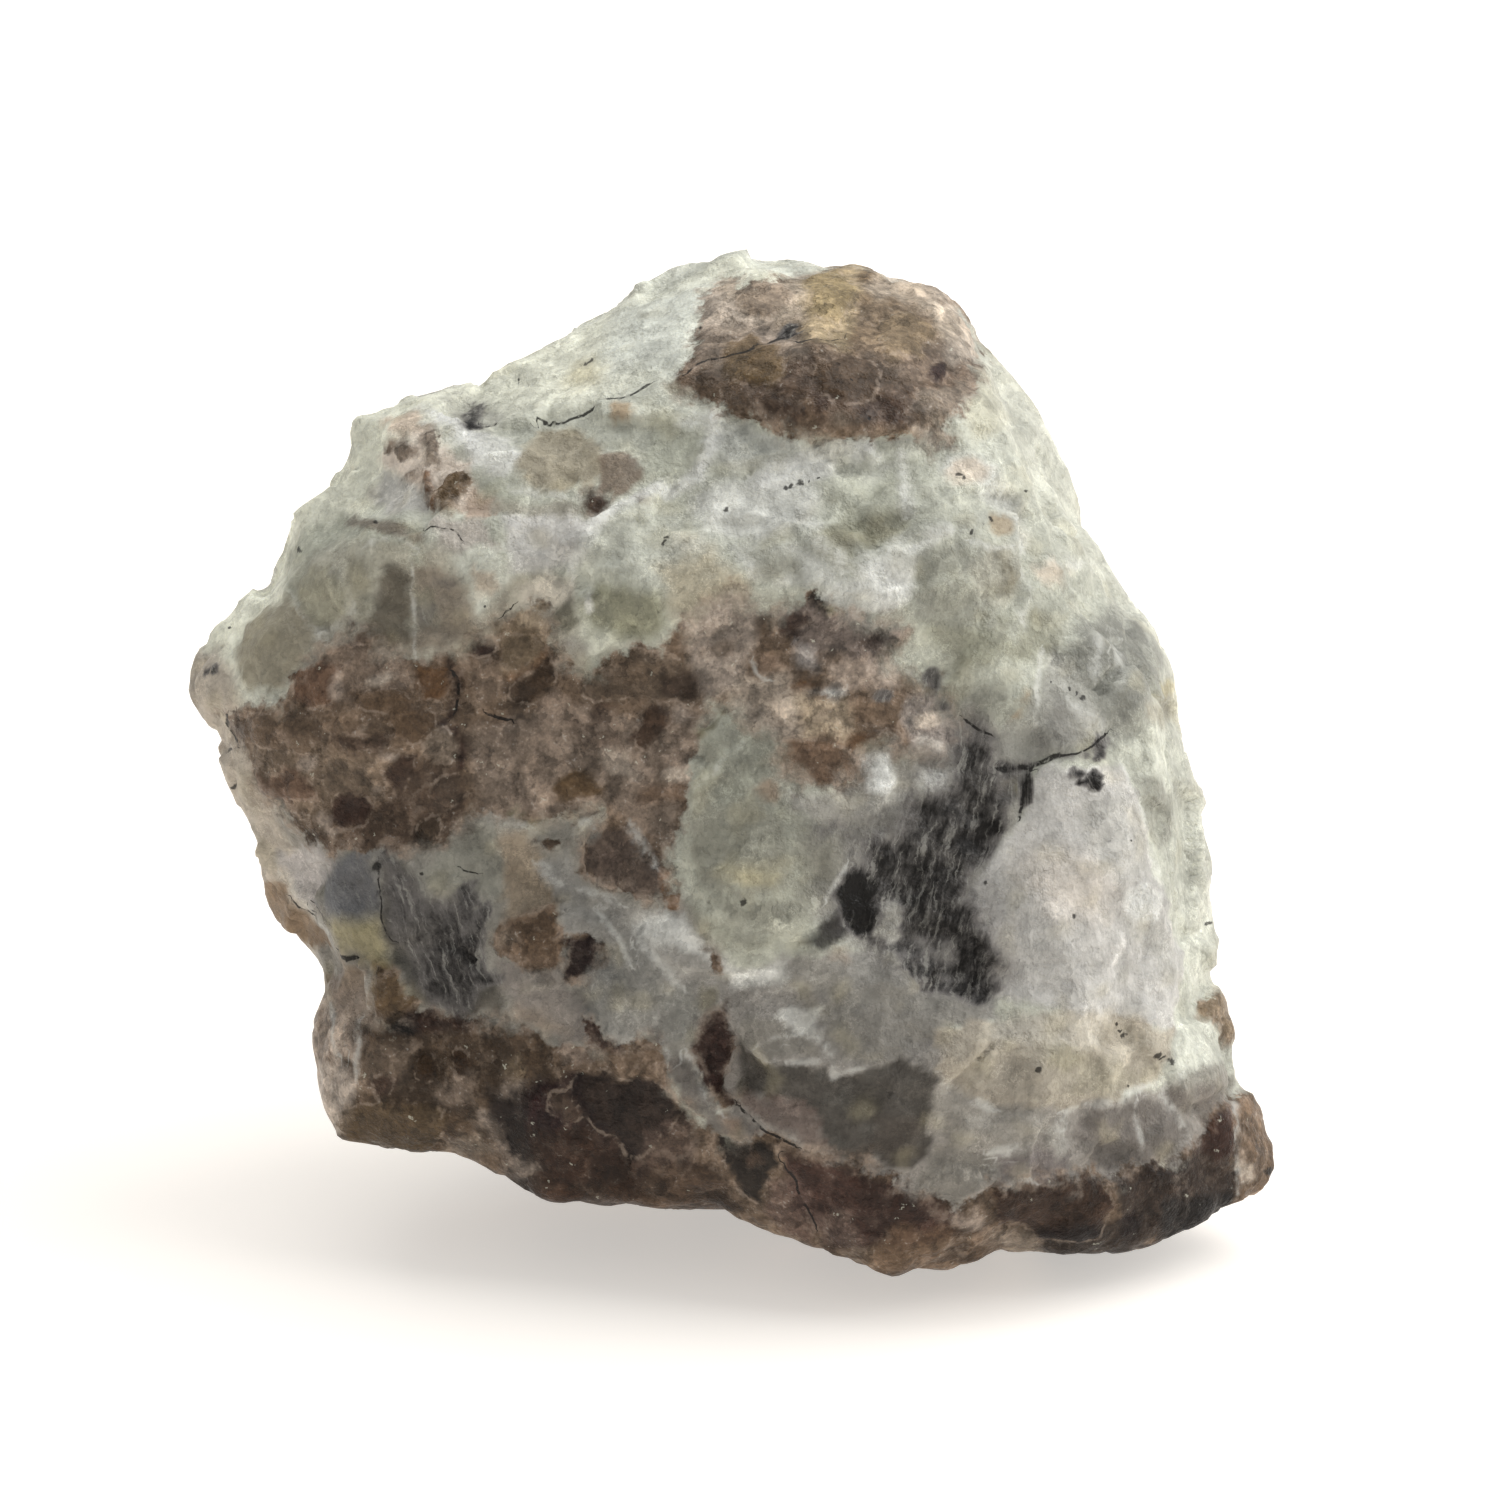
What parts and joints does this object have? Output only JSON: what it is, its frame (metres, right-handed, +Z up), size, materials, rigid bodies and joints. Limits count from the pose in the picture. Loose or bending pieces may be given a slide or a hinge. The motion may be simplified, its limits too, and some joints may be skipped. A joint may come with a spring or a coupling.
{
  "type": "amazonite and fluorite specimen",
  "caption": "Rough broken stone of pale green and white feldspar with brown granular fluorite, standing by itself on a small flat foot with its broad face to the front.",
  "frame": {"origin": "centre of the bounding box at its lowest face, on the surface the stone stands on", "axes": "+Z up, square to the flat foot; +X to the right along the broad front face; +Y towards the back of the stone, so the broad face looks towards -Y"},
  "size_m": [0.0422, 0.0282, 0.0351],
  "materials": {
    "stone": "rough broken stone with a dull to waxy lustre"
  },
  "bodies": {
    "root": {"stone": "stone"}
  },
  "joints": []
}
